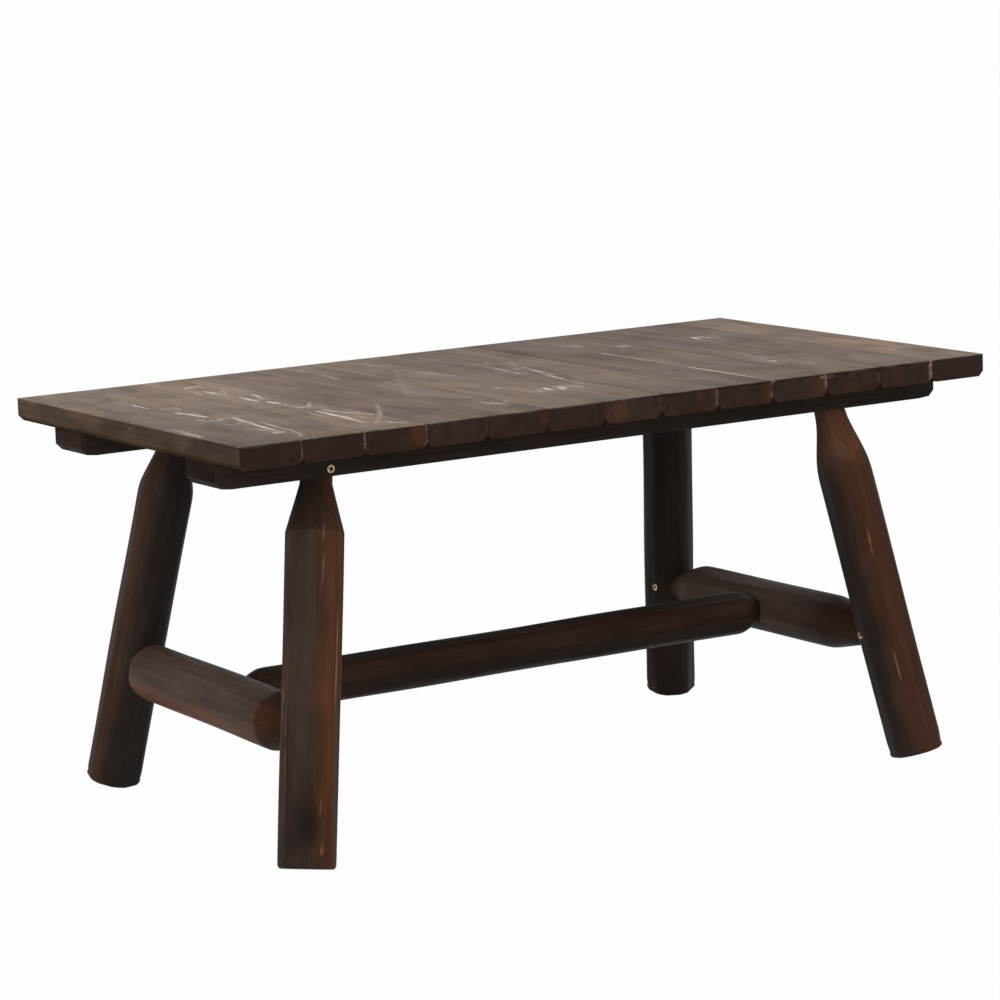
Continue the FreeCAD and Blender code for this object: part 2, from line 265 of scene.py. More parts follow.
# %% [markdown]
# The wood is pine, scorched and stained nearly black-brown, then brushed and lacquered to a satin. An
# image of wood would not turn the corner onto the end grain, so the material cuts the distance of each
# point from the middle of its tree into growth rings, and noise bends them.

# %% Growth rings
def growth_rings(tree, place, look):
    """Goes from 0 to 1 and back across each growth ring."""
    flat = put(tree, "VectorMath", {0: place, 1: (1, 1, 0)}, operation="MULTIPLY").outputs[0]
    distance = put(tree, "VectorMath", {0: flat}, operation="LENGTH").outputs["Value"]
    wander = cloud(tree, place, look["wander_per_metre"], 2.0)
    bent = sum_of(tree, "MULTIPLY_ADD", wander, look["wander"], distance)
    return sum_of(tree, "PINGPONG", sum_of(tree, "DIVIDE", bent, look["ring"] / 2), 1.0)


print("growth rings ready")

# %% [markdown]
# The stain did not take evenly. Wide clouds of grey and warm brown come first, then streaks along the
# trunk, then ruddy places, the dark late wood of each ring, fine fibres and coarser grain. Scorched
# places and sawn ends drank more stain, and are darker. What is listed for each piece is read from
# its points. In each fade below, the first two numbers are the part of the noise that is used.

# %% Stain
FIBRES_PER_METRE = (850, 850, 16)
MOTTLE_PER_METRE = (70, 60, 20)


def stain(tree, place, ridge, streak, look):
    drift = cloud(tree, place, look["clouds_per_metre"], 4.0, 0.7)
    fibre = cloud(tree, place, FIBRES_PER_METRE, 3.0)
    late = fade(tree, ridge, 0.45, 0.95)
    colour = tint(tree, fade(tree, drift, 0.34, 0.66), look["deep"], look["brown"])
    hue = fade(tree, cloud(tree, place, look["hue_per_metre"], 3.0, 0.5), 0.35, 0.65, 0.0, 0.5)
    colour = tint(tree, hue, colour, look["grey"])
    colour = tint(tree, fade(tree, streak, 0.42, 0.75, 0.0, look["streaks"]), colour, look["pale_brown"])
    ruddy = sum_of(tree, "MULTIPLY", fact(tree, "ruddy"), fade(tree, streak, 0.25, 0.6, 0.6, 1.0))
    colour = tint(tree, ruddy, colour, look["ruddy"])
    colour = tint(tree, sum_of(tree, "MULTIPLY", late, look["ring_depth"]), colour, look["late"])
    colour = speckle(tree, colour, fibre, 0.25, 0.75, look["fibre_depth"])
    grain = cloud(tree, place, look["grain_per_metre"], 3.0, 0.5)
    colour = speckle(tree, colour, grain, 0.32, 0.68, look["grain_depth"])
    mottle = cloud(tree, place, MOTTLE_PER_METRE, 2.0)
    sawn = tint(tree, fade(tree, mottle, 0.3, 0.7), look["end"], look["end_light"])
    sawn = tint(tree, sum_of(tree, "MULTIPLY", late, look["end_rings"]), sawn, look["end_late"])
    blotch = sum_of(tree, "MULTIPLY", fact(tree, "blotch"), fade(tree, mottle, 0.25, 0.7))
    sawn = tint(tree, blotch, sawn, look["orange"])
    colour = tint(tree, fact(tree, "cut_end"), colour, sawn)
    burnt = sum_of(tree, "MULTIPLY", fact(tree, "burnt"), fade(tree, streak, 0.2, 0.7, 1.0, 0.8))
    colour = tint(tree, burnt, colour, look["burnt"])
    # The stored tone is the wood's own tone, and on some pieces also painted light and shade
    return tint(tree, 1.0, colour, sum_of(tree, "ADD", fact(tree, "tone"), 1.0), "MULTIPLY")


print("stain ready")

# %% [markdown]
# Wear takes the stain off the crests of the grain, so a worn place is a bundle of pale strands and not
# an even patch. The stored value says where. It gives a crisp core with a soft halo round it, and fine
# noise along the trunk breaks both into strands.

# %% Wear
WEAR_CORE, WEAR_HALO = 0.45, 0.5


def wear(tree, place, look):
    """How much of the stain is gone, from 0 to 1."""
    worn = fact(tree, "worn")
    core = fade(tree, worn, 0.15, 0.8, 0.0, WEAR_CORE)
    worn = sum_of(tree, "MULTIPLY_ADD", worn, WEAR_HALO, core)
    strands = cloud(tree, place, look["strands_per_metre"], 2.0)
    return sum_of(tree, "MULTIPLY", worn, fade(tree, strands, 0.3, 0.6, look["strand_floor"], 1.0))


print("wear ready")

# %% [markdown]
# The finish is the same shader on every piece, with its own colours and sizes of grain. Only the
# roughness and the bump follow the grain. The shine is one number, set on the shader itself, because
# an exported model loses a shine that comes through other nodes.

# %% Stained pine
SPECKS_PER_METRE = (420, 420, 90)
WORN_ROUGHER = 0.15
STREAK_RELIEF, SPECK_RELIEF = 0.8, 0.25
BUMP_DISTANCE = 0.0005


def stained_pine(name, look):
    material, tree = empty_material(name)
    place = fact(tree, "tree", "Vector")
    ridge = growth_rings(tree, place, look)
    streak = cloud(tree, place, look["streaks_per_metre"], 4.0, 0.6)
    gone = wear(tree, place, look)
    colour = tint(tree, gone, stain(tree, place, ridge, streak, look), look["worn"])
    speck = cloud(tree, place, SPECKS_PER_METRE, 2.0)
    bare = sum_of(tree, "MULTIPLY", fact(tree, "bare"), fade(tree, speck, 0.28, 0.5))
    colour = tint(tree, bare, colour, look["bare"])
    rough = fade(tree, streak, 0.3, 0.7, look["rough"] + 0.07, look["rough"] - 0.05)
    rough = sum_of(tree, "MULTIPLY_ADD", gone, WORN_ROUGHER, rough)
    height = sum_of(tree, "MULTIPLY", ridge, look["ring_relief"])
    height = sum_of(tree, "MULTIPLY_ADD", streak, STREAK_RELIEF, height)
    height = sum_of(tree, "MULTIPLY_ADD", speck, SPECK_RELIEF, height)
    bump = {"Height": height, "Distance": BUMP_DISTANCE, "Strength": look["relief"]}
    relief = put(tree, "Bump", bump).outputs[0]
    wood = put(tree, "BsdfPrincipled", {
        "Base Color": colour, "Roughness": rough, "Specular IOR Level": look["shine"], "Normal": relief,
    }).outputs[0]
    put(tree, "OutputMaterial", {"Surface": wood})
    return material


print("stained pine ready")

# %% [markdown]
# All the wood is one kind of pine with one stain, so one recipe serves it. The rails drank the most
# stain and the boards were brushed the most, so each kind of piece changes a few numbers of the recipe.
# Names that end in per_metre say how many lumps of a noise fit in a metre, across and along the trunk.

# %% Looks of the boards, rails and logs
BOARD_LOOK = dict(
    ring=0.0062, wander=0.020, wander_per_metre=(18, 18, 4.5), clouds_per_metre=(15, 15, 11),
    hue_per_metre=(8, 8, 6), streaks_per_metre=(38, 38, 9), strands_per_metre=(260, 260, 20),
    grain_per_metre=(62, 62, 10), grain_depth=0.08, fibre_depth=0.19, strand_floor=0.4,
    streaks=0.2, deep=(0.079, 0.0535, 0.0346), brown=(0.176, 0.110, 0.0665),
    grey=(0.136, 0.099, 0.068), pale_brown=(0.170, 0.114, 0.074), ruddy=(0.165, 0.080, 0.050),
    late=(0.090, 0.062, 0.045), ring_depth=0.18,
    end=(0.028, 0.0175, 0.0142), end_light=(0.037, 0.023, 0.0172), end_late=(0.014, 0.008, 0.006),
    end_rings=0.07, orange=(0.090, 0.031, 0.016), burnt=(0.017, 0.0128, 0.0112),
    worn=(0.74, 0.67, 0.60), bare=(0.44, 0.31, 0.21),
    rough=0.52, ring_relief=0.35, relief=0.4, shine=0.09,
)
boards_pine = stained_pine("boards_pine", BOARD_LOOK)
board_ends_pine = stained_pine("board_ends_pine", dict(
    BOARD_LOOK, shine=0.0, rough=0.6, ring_relief=0.06, relief=0.35,
))
RAIL_LOOK = dict(
    BOARD_LOOK, deep=(0.026, 0.0185, 0.0150), brown=(0.037, 0.025, 0.0195), grey=(0.031, 0.0245, 0.0200),
    pale_brown=(0.046, 0.0305, 0.0215), late=(0.014, 0.0112, 0.0092), ruddy=(0.070, 0.036, 0.022),
    end=(0.021, 0.0135, 0.0105), end_light=(0.034, 0.0215, 0.016), rough=0.55, shine=0.01,
)
rails_pine = stained_pine("rails_pine", RAIL_LOOK)
LOG_LOOK = dict(
    BOARD_LOOK, ring=0.0030, wander=0.010, wander_per_metre=(26, 26, 4.0), clouds_per_metre=(24, 24, 5.0),
    hue_per_metre=(18, 18, 4.0), streaks_per_metre=(80, 80, 4.0), streaks=0.4,
    grain_per_metre=(170, 170, 9), fibre_depth=0.11,
    strands_per_metre=(400, 400, 120), strand_floor=0.0, deep=(0.025, 0.015, 0.011),
    brown=(0.048, 0.029, 0.020), grey=(0.043, 0.033, 0.027), pale_brown=(0.058, 0.037, 0.027),
    ruddy=(0.092, 0.032, 0.014), late=(0.018, 0.010, 0.007), ring_depth=0.14,
    burnt=(0.0115, 0.0088, 0.0077), worn=(0.26, 0.21, 0.17), bare=(0.55, 0.22, 0.08),
    ring_relief=0.25, relief=0.35, shine=0.04,
)
logs_pine = stained_pine("logs_pine", LOG_LOOK)
print("materials:", boards_pine.name, board_ends_pine.name, rails_pine.name, logs_pine.name)

# %% [markdown]
# A top board is a short plank with its long lower edges chamfered and its other edges only eased by
# sanding. Each one is cut a hair shorter or laid a hair lower than its neighbours, as in hand work. A box
# with a bevel could give these edges, but loops also give the end faces points to store marks on.

# %% Section of a top board
BOARD_CHAMFER = 0.006
BOARD_EASE = 0.0003
END_EASE = 0.0011


def rounded(centre, radius, start, steps=4):
    """Points of a quarter circle, from a starting angle in degrees."""
    turns = np.radians(np.linspace(start, start + 90, steps))
    return [(centre[0] + radius * math.cos(turn), centre[1] + radius * math.sin(turn)) for turn in turns]


def straight(first, last, steps):
    return [tuple(point) for point in np.linspace(first, last, steps)]


def board_section(width, thick):
    """Closed outline of a board, across and up, from the lower left chamfer round to the left side."""
    outline = straight((BOARD_CHAMFER, 0), (width - BOARD_CHAMFER, 0), 24)
    outline += straight((width, BOARD_CHAMFER), (width, thick - BOARD_EASE), 14)[:-1]
    outline += rounded((width - BOARD_EASE, thick - BOARD_EASE), BOARD_EASE, 0)
    outline += straight((width - BOARD_EASE, thick), (BOARD_EASE, thick), 62)[1:-1]
    outline += rounded((BOARD_EASE, thick - BOARD_EASE), BOARD_EASE, 90)
    outline += straight((0, thick - BOARD_EASE), (0, BOARD_CHAMFER), 14)[1:]
    return np.array(outline)


print("points round a board:", len(board_section(0.0726, 0.025)))

# %% [markdown]
# The pale lines on the top are where brushing and use have worn the crests of the growth rings. They
# gather in a few places, so those places are listed: lines, oval flecks, and the nested arches
# that flat-sawn boards show. Painting them on a picture would be quicker, but would not follow the grain.

# %% Where the boards are worn
MM = 0.001
LUMP_SIDE = 64
LUMP_TABLE = np.random.default_rng(71).uniform(-1, 1, (LUMP_SIDE, LUMP_SIDE))
# Worn lines in millimetres: half the width, how worn, then the points that the line runs through
WORN_LINES = [
    (2.6, 0.75, (-409, 104), (-412, 64)), (2.2, 0.6, (-404, 48), (-386, 50), (-392, 28)),
    (4.6, 1.0, (-404, 14), (-398, -10), (-397, -38)), (2.4, 0.7, (-411, -46), (-410, -72)),
    (2.2, 0.6, (-406, -61), (-397, -67), (-388, -58), (-377, -62)),
    (2.0, 0.55, (-407, -84), (-404, -108), (-388, -100), (-376, -62)),
    (3.2, 0.8, (-377, -60), (-384, -112), (-391, -178)), (2.0, 0.6, (-373, -112), (-379, -175)),
    (2.0, 0.55, (-406, -140), (-395, -182)), (3.0, 0.7, (-402, -188), (-389, -190)),
    (2.2, 0.45, (-376, -174), (-384, -215), (-394, -230)), (5.5, 0.4, (-462, -91), (-470, -163)),
    (2.8, 0.8, (-305, 178), (-290, 180), (-283, 190)), (2.0, 0.55, (-310, 160), (-317, 116)),
    (3.2, 0.85, (-302, 138), (-299, 96)), (2.0, 0.4, (-287, 132), (-293, 104)),
    (3.2, 0.95, (-297, 72), (-299, 26)), (2.6, 0.85, (-274, 82), (-285, 40)),
    (4.4, 1.0, (-292, 15), (-290, -2)), (2.2, 0.75, (-291, -4), (-290, -48), (-276, -46), (-265, -25)),
    (2.0, 0.6, (-300, -70), (-307, -140)), (3.2, 0.95, (-290, -86), (-292, -140), (-297, -195)),
    (2.2, 0.75, (-282, -81), (-274, -110), (-261, -150)), (2.2, 0.75, (-280, -200), (-267, -230)),
    (2.6, 0.45, (-216, -83), (-259, -164), (-294, -210)),
    (2.2, 0.5, (-144, 248), (-140, 163), (-147, 116)), (2.6, 0.6, (-64, 204), (-55, 168)),
    (2.4, 0.55, (-53, 100), (-41, 39)), (4.5, 0.2, (-59, 139), (-160, -56)),
    (2.2, 0.5, (27, 86), (19, -14)), (2.8, 0.75, (49, 26), (28, -83)), (2.0, 0.45, (34, -30), (23, -123)),
    (2.2, 0.4, (55, 60), (44, -10)), (2.4, 0.4, (297, -19), (272, -143)),
    (2.0, 0.35, (310, -30), (290, -120)), (2.8, 0.4, (450, 202), (441, 129)),
]
# Oval places: middle, half the width and half the length in millimetres, and strength
FLECKS = [
    (55, 86, 10, 22, 0.7), (-20, -129, 26, 13, 1.5), (-57, -82, 8, 14, 0.6), (197, 154, 8, 20, 0.6),
    (239, 114, 14, 12, 0.55), (343, 103, 24, 16, 1.2), (275, -130, 12, 24, 0.7), (-121, -170, 11, 16, 1.1),
    (451, -135, 12, 22, 0.5), (-395, 238, 14, 14, 0.4), (-108, 234, 16, 10, 0.4),
]
DARK_EYES = [
    (-389, 41, 5, 10, 0.5), (-285, 199, 5, 10, 0.5), (-391, -78, 7, 16, 0.4), (-275, -36, 5, 10, 0.5),
    (-290, 31, 4, 10, 0.4), (-306, -84, 4, 9, 0.4), (40, -40, 3, 30, 0.3), (-20, -108, 20, 6, 0.2),
]
RUDDY_PLACES = [
    (147, -130, 24, 70, 0.6), (-190, 30, 30, 60, 0.3), (90, 160, 30, 50, 0.3), (-219, 0, 34, 300, 0.25),
    (-146, 0, 34, 300, 0.2), (73, 0, 34, 300, 0.25), (146, 0, 34, 300, 0.5), (292, 0, 34, 300, 0.2),
    (365, 0, 34, 300, 0.25), (438, 0, 34, 300, 0.1),
]
# Bundles of growth rings that show faintly: middle, first and last place along the board, half the
# width, spacing of the arches, how curved they are, and how worn, in millimetres
ARCHES = [
    (-397, 62, -250, 18, 44, 0.16, 0.28), (-290, 215, -20, 18, 50, 0.15, 0.32),
    (-284, -10, -225, 20, 60, 0.16, 0.32), (38, 140, -100, 20, 58, 0.14, 0.42),
    (344, 135, 55, 22, 40, 0.12, 0.44), (292, -70, -200, 18, 48, 0.14, 0.42),
    (-12, -100, -150, 26, 30, 0.06, 0.42), (437, 185, 105, 16, 46, 0.14, 0.28),
    (-56, 212, 160, 14, 34, 0.14, 0.34), (-392, 245, 200, 15, 30, 0.12, 0.28),
    (452, -100, -160, 15, 40, 0.12, 0.26), (-120, -110, -200, 18, 44, 0.12, 0.26),
    (200, 180, 60, 16, 44, 0.14, 0.24), (-215, 150, 20, 16, 50, 0.14, 0.18),
    (130, -60, -220, 18, 50, 0.13, 0.2),
]


def lumps(x, y, wide, long, seed):
    """Smooth noise from -1 to 1, in lumps so wide and so long."""
    u, v = x / wide + seed * 7.3, y / long + seed * 3.9
    i, j = np.floor(u).astype(int), np.floor(v).astype(int)
    u, v = u - i, v - j
    u, v = u * u * (3 - 2 * u), v * v * (3 - 2 * v)
    here, beyond = i % LUMP_SIDE, (i + 1) % LUMP_SIDE
    near, far = j % LUMP_SIDE, (j + 1) % LUMP_SIDE
    first = LUMP_TABLE[here, near] * (1 - u) + LUMP_TABLE[beyond, near] * u
    second = LUMP_TABLE[here, far] * (1 - u) + LUMP_TABLE[beyond, far] * u
    return first * (1 - v) + second * v


def arches_at(x, y):
    """Faint nested arches where growth rings come up through a flat-sawn board."""
    bent = x + 6 * lumps(x, y, 36, 70, 1) + 2 * lumps(x, y, 9, 20, 2)
    slid = y + 22 * lumps(x, y, 30, 64, 3) + 6 * lumps(x, y, 7, 14, 4)
    worn = np.zeros_like(x)
    for middle, start, stop, half_width, spacing, curve, strength in ARCHES:
        off = bent - middle
        ring = (slid - curve * off ** 2) / spacing
        crest = np.clip((0.8 - np.abs(2 * (ring % 1) - 1)) / 0.8, 0, 1) ** 3
        along = (y - (start + stop) / 2) / ((start - stop) / 2)
        worn = np.maximum(worn, strength * crest * np.exp(-(off / half_width) ** 4 - along ** 6))
    return worn


def ovals_at(x, y, ovals):
    """Soft oval places on the top; x and y in millimetres."""
    total = np.zeros_like(x)
    for middle_x, middle_y, half_width, half_length, strength in ovals:
        far = ((x - middle_x) / half_width) ** 2 + ((y - middle_y) / half_length) ** 2
        total = np.maximum(total, strength * np.exp(-far))
    return total


def worn_at(x, y):
    """How worn the top is at each point, from 0 to 1; x and y in millimetres."""
    strands = np.clip(0.2 + 1.7 * lumps(x, y, 3, 15, 8), 0, 1)
    worn = np.maximum(arches_at(x, y), strands * ovals_at(x, y, FLECKS))
    shaky = x + 1.2 * lumps(x, y, 6, 12, 7)
    for width, strength, *points in WORN_LINES:
        runs = [math.dist(first, last) for first, last in zip(points, points[1:])]
        passed = 0
        for (x0, y0), (x1, y1), run in zip(points, points[1:], runs):
            share = np.clip(((shaky - x0) * (x1 - x0) + (y - y0) * (y1 - y0)) / run ** 2, 0, 1)
            off = np.hypot(shaky - x0 - share * (x1 - x0), (y - y0 - share * (y1 - y0)) / 1.6)
            taper = 0.55 + 0.45 * np.sin(math.pi * (passed + share * run) / sum(runs))
            worn = np.maximum(worn, strength * np.exp(-(off / (width * taper)) ** 2))
            passed += run
    return worn * np.clip(0.92 + 0.55 * lumps(x, y, 4, 12, 5), 0.25, 1.2)


print("worn lines:", len(WORN_LINES), "arches:", len(ARCHES))

# %% [markdown]
# Each board also has marks of its own. On the front ends, arrises are rubbed pale beside the joints and
# some stain dried orange. On the top, boards are lighter or darker, joints are dark, and one seam is
# pale. Painted shade darkens the front of the top, a painted drift of light and shade runs from corner
# to corner, and a painted highlight lies along the front edge with the rubbing. Strips of other wood
# could show this, but stored values keep each board one piece.

# %% Marks on the boards
# At each joint on the front: how pale the arris is, and over which share of the height
PALE_JOINTS = {
    1: (0.3, 0.2, 1.0), 2: (0.5, 0.0, 1.0), 3: (0.5, 0.1, 0.95), 4: (0.12, 0.3, 1.0), 5: (0.12, 0.2, 0.9),
    6: (0.15, 0.2, 0.8), 7: (0.25, 0.3, 0.9), 8: (0.35, 0.2, 0.9), 9: (0.3, 0.2, 1.0), 10: (0.5, 0.3, 1.0),
    11: (0.12, 0.3, 0.8), 12: (0.8, 0.2, 1.0),
}
# How far the marks at a joint reach from it, and the boards that have them
ARRIS_WIDTH, SMEAR_WIDTH, CHIP_WIDTH, CROSSING_WIDTH = 0.0016, 0.0036, 0.0034, 0.009
FIRST_SMEARED, CHIPPED, CROSSED = 7, 12, (10, 11)
# Where the stain is orange on a front end: share of the width, reach, and strength
END_BLOTCHES = {
    3: (0.86, 0.18, 0.8), 5: (0.95, 0.1, 0.3), 7: (0.2, 0.35, 0.5), 8: (0.85, 0.25, 0.4),
    9: (0.92, 0.12, 0.45), 10: (0.9, 0.2, 0.5), 11: (0.5, 0.3, 0.3), 12: (0.2, 0.3, 0.25),
}
# Front ends that took less stain: how much lighter they are
END_TONES = {4: 0.25, 5: 0.1, 6: 0.1, 7: 0.4, 8: 0.15, 9: 0.15, 10: 0.3, 11: 0.15, 12: 0.2, 13: 0.25}
# Boards whose top is lighter or darker than the rest
TOP_TONES = {
    1: -0.05, 2: 0.1, 3: 0.25, 4: -0.1, 5: 0.05, 6: 0.1, 7: -0.05, 8: -0.1, 9: -0.35, 10: -0.1, 11: -0.25,
    12: -0.25, 13: 0.3,
}
# The top is darker at its joints, has painted shade towards its front, and a painted drift of light and
# shade from corner to corner
JOINT_SHADE, JOINT_WIDTH = 0.35, 0.0009
FRONT_SHADE, FRONT_REACH = 0.18, 0.05
CORNER_LIGHT_DRIFT = 2.0
# The pale seam: its two boards, half its width, and the place along it where its brighter part ends
SEAM, SEAM_WIDTH, SEAM_BRIGHT_TO = (9, 10), 0.0022, 0.08
# How far the front edge is rubbed pale with a painted highlight, how deep the upper and left faces count,
# and how scorched the rest is
RUBBED_HIGHLIGHT_REACH = 0.006
UPPER_SKIN, LEFT_SKIN = 0.0012, 0.0004
SIDE_BURNT, BELOW_BURNT = 0.85, 1.0
board_names = sorted(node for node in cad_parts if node.startswith("top_board"))


def shared_side(number, pair, low, high):
    """The side of a board where it meets the other board of a pair."""
    return high[0] if number == pair[0] else low[0]


def end_marks(number, x, y, z, low, high, drawn_in):
    """Where the front end is bare beside its joints, and where its stain is orange."""
    width, _, thick = high - low
    rise = (z - low[2]) / thick
    front = (y < 0) & (drawn_in > 0)
    from_joint = high[0] - x
    strength, start, stop = PALE_JOINTS.get(number, (0, 0, 0))
    pale = front & (rise >= start) & (rise <= stop)
    bare = np.zeros_like(x)
    if number >= FIRST_SMEARED:
        bare[pale & (drawn_in < 0.15 * thick) & (from_joint < SMEAR_WIDTH)] = 0.45 * strength
    bare[pale & (drawn_in < 1.5 * END_EASE) & (from_joint < ARRIS_WIDTH)] = strength
    if number == CHIPPED:
        bare[front & (from_joint < CHIP_WIDTH) & (rise > 0.55)] = 0.8
    if number in CROSSED:
        near = np.abs(x - shared_side(number, CROSSED, low, high)) < CROSSING_WIDTH
        bare[front & near & (rise > 0.80) & (rise < 0.92)] = 0.4
    bare *= np.clip(0.65 + 0.7 * lumps(x / MM, z / MM, 9, 5, number), 0, 1)
    share, reach, strength = END_BLOTCHES.get(number, (0, 1, 0))
    off = ((x - low[0]) / width - share) / reach
    return bare, strength * np.exp(-off ** 2 - ((rise - 0.55) / 0.5) ** 4) * front


def top_marks(number, x, y, upper, low, high):
    """How worn the top is, with a painted front highlight, and its tone, with painted light and shade."""
    from_front = y - y.min()
    worn = worn_at(x / MM, y / MM)
    if number in SEAM:
        off = (x - shared_side(number, SEAM, low, high)) / SEAM_WIDTH
        broken = np.clip(0.8 + 0.5 * lumps(x / MM, y / MM, 4, 25, 6), 0, 1)
        worn = np.maximum(worn, np.where(y < SEAM_BRIGHT_TO, 0.7, 0.3) * broken * np.exp(-off ** 2))
    # The front edge is rubbed pale, with a painted highlight along its arris
    rubbed_highlight = np.clip(0.06 + 0.08 * lumps(x / MM, y / MM, 17, 40, 9), 0, 0.12) * upper
    worn = np.maximum(worn, rubbed_highlight * np.exp(-(from_front / RUBBED_HIGHLIGHT_REACH) ** 2))
    at_joint = (x - low[0] < JOINT_WIDTH) & (number > 1)
    at_joint |= (high[0] - x < JOINT_WIDTH) & (number < len(board_names))
    # The tone holds painted shade towards the front and a painted drift of light and shade from corner to
    # corner
    tone = TOP_TONES[number] - JOINT_SHADE * at_joint - CORNER_LIGHT_DRIFT * x * y
    return worn, tone - FRONT_SHADE * np.exp(-(from_front / FRONT_REACH) ** 2)


def side_marks(number, x, y, z, upper, low):
    """How scorched each point is, and which points are on the left end of the bench."""
    burnt = np.where(upper, ovals_at(x / MM, y / MM, DARK_EYES), SIDE_BURNT)
    left_end = (x < low[0] + LEFT_SKIN) & (number == 1)
    burnt[(z < low[2] + 1.1 * BOARD_CHAMFER) & ~left_end] = BELOW_BURNT
    left_end &= ~upper
    # The left end is more scorched towards the front
    burnt[left_end] = 0.53 - 0.6 * y[left_end]
    return burnt, left_end


print("joints with a pale arris:", len(PALE_JOINTS), "orange ends:", len(END_BLOTCHES))

# %% [markdown]
# The boards lie edge to edge, so each is swollen a little to close the gaps that the measured boards
# keep. The end grain takes a second material without shine, as sawn ends are dull.

# %% Thirteen top boards
BOARD_STEP = 0.0045
BOARD_SWELL = 0.0002
CUT_SHORT, LAID_LOW = 0.0003, 0.00015
TOP_SKIN = 0.003
LEFT_WORN = 0.02
# How far the heart of the trunk was to one side of a board, and how far below its top
HEART_ASIDE, HEART_DEPTHS = 0.012, (0.030, 0.055)


def bar_points(outline, length, width, thick, ease, step, bevel=0):
    """Along, across and up for the points of a bar, and how far its outline is drawn in there. At the
    ends that is nearly to the middle, so that the end faces have points to store values on."""
    first = [(0, thick / 2 * share) for share in (0.96, 0.75, 0.5, 0.25)]
    first += [(0, ease), (ease * 0.3, ease * 0.3), (ease, 0)]
    places = np.linspace(ease + step / 2, length - ease - step / 2, round(length / step))
    last = [(length - place, drawn) for place, drawn in reversed(first)]
    stations = np.array(first + [(place, 0) for place in places] + last)
    along, drawn = stations.T[..., None] + np.zeros(len(outline))
    slant = np.maximum(0, bevel - np.minimum(along, length - along))
    across = np.clip(outline[:, 0], drawn, width - drawn)
    return along, across, np.clip(outline[:, 1], np.maximum(slant, drawn), thick - drawn), drawn


def make_board(number, name):
    low, high = (np.array(corner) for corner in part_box(name))
    low[0] -= BOARD_SWELL
    high[0] += BOARD_SWELL
    width, length, thick = high - low
    chance = np.random.default_rng(300 + number)
    front_back, dropped = chance.uniform(0, CUT_SHORT, 2), chance.uniform(0, LAID_LOW)
    length -= front_back.sum()
    thick -= dropped
    outline = board_section(width, thick)
    along, across, up, drawn_in = bar_points(outline, length, width, thick, END_EASE, BOARD_STEP)
    x, y, z = low[0] + across, low[1] + front_back[0] + along, low[2] + up
    on_top = z > high[2] - TOP_SKIN
    cut_end = np.clip(drawn_in / END_EASE, 0, 1)
    cut_end[np.minimum(y - y.min(), y.max() - y) < 0.9 * END_EASE] = 1
    cut_end[on_top & (drawn_in < END_EASE)] = 0
    upper = z > high[2] - UPPER_SKIN
    # The top's tone holds each board's own tone, dark joints, and painted light and shade
    worn, top_tone_and_light = top_marks(number, x, y, upper, low, high)
    burnt, left_end = side_marks(number, x, y, z, upper, low)
    bare, blotch = end_marks(number, x, y, z, low, high, drawn_in)
    middle = (low[0] + high[0]) / 2 + chance.uniform(-HEART_ASIDE, HEART_ASIDE)
    heart_depth = chance.uniform(*HEART_DEPTHS)
    board = skin(f"board_{number:02d}", np.stack([x, y, z], -1), {
        "tree": np.stack([x - middle, z - high[2] + heart_depth, y + number * 1.61], -1),
        "worn": np.where(left_end, LEFT_WORN, worn * on_top), "burnt": burnt * (1 - cut_end),
        "tone": np.where(on_top, top_tone_and_light, END_TONES.get(number, 0) * cut_end),
        "ruddy": ovals_at(x / MM, y / MM, RUDDY_PLACES) * on_top,
        "cut_end": cut_end, "bare": bare, "blotch": blotch,
    })
    dress(board, boards_pine, "top_boards", name)
    board.data.materials.append(board_ends_pine)
    for face in board.data.polygons:
        face.material_index = int(face.normal.z < 0.5)
    return board


boards = [make_board(number, name) for number, name in enumerate(board_names, 1)]
print("boards:", len(boards), "points", sum(len(board.data.vertices) for board in boards))

# %% [markdown]
# The two rails are flat bars that carry the boards and take the legs. They are the darkest wood on
# the bench, with their lower end corners cut off at a slant. The same skin helper makes them: the
# loops near an end have their lower points lifted, which gives the slant without a boolean cut.

# %% Two rails
RAIL_BEVEL = 0.009
RAIL_EASE = 0.0016
RAIL_STEP = 0.012
# Where the bar lay in the trunk, from its heart
RAIL_ASIDE, RAIL_BELOW = 0.05, 0.03


def bar_section(width, thick, ease):
    """Closed outline of a bar whose four edges are eased alike."""
    corners = [
        rounded((width - ease, ease), ease, 270), rounded((width - ease, thick - ease), ease, 0),
        rounded((ease, thick - ease), ease, 90), rounded((ease, ease), ease, 180),
    ]
    outline = []
    for number, steps in enumerate((10, 6, 10, 6)):
        outline += straight(corners[number - 1][-1], corners[number][0], steps)[1:-1] + corners[number]
    return np.array(outline)


def make_rail(name, seed, end_tone):
    low, high = (np.array(corner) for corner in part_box(name))
    length, width, thick = high - low
    outline = bar_section(width, thick, RAIL_EASE)
    bar = bar_points(outline, length, width, thick, RAIL_EASE, RAIL_STEP, RAIL_BEVEL)
    along, across, up, drawn_in = bar
    x, y, z = low[0] + along, low[1] + across, low[2] + up
    cut_end = np.clip(drawn_in / RAIL_EASE, 0, 1)
    arris = (cut_end > 0) & (drawn_in < 1.5 * RAIL_EASE)
    rail = skin(name + "_bar", np.stack([x, y, z], -1), {
        "tree": np.stack([across + RAIL_ASIDE, up - RAIL_BELOW, x + seed], -1),
        "cut_end": cut_end, "blotch": 0.3 * arris, "tone": end_tone * cut_end,
    })
    dress(rail, rails_pine, "rails", name)
    return rail


rails = [make_rail("front_rail", 11.0, -0.45), make_rail("back_rail", 17.0, 0.15)]
print("rails:", [rail.name for rail in rails])

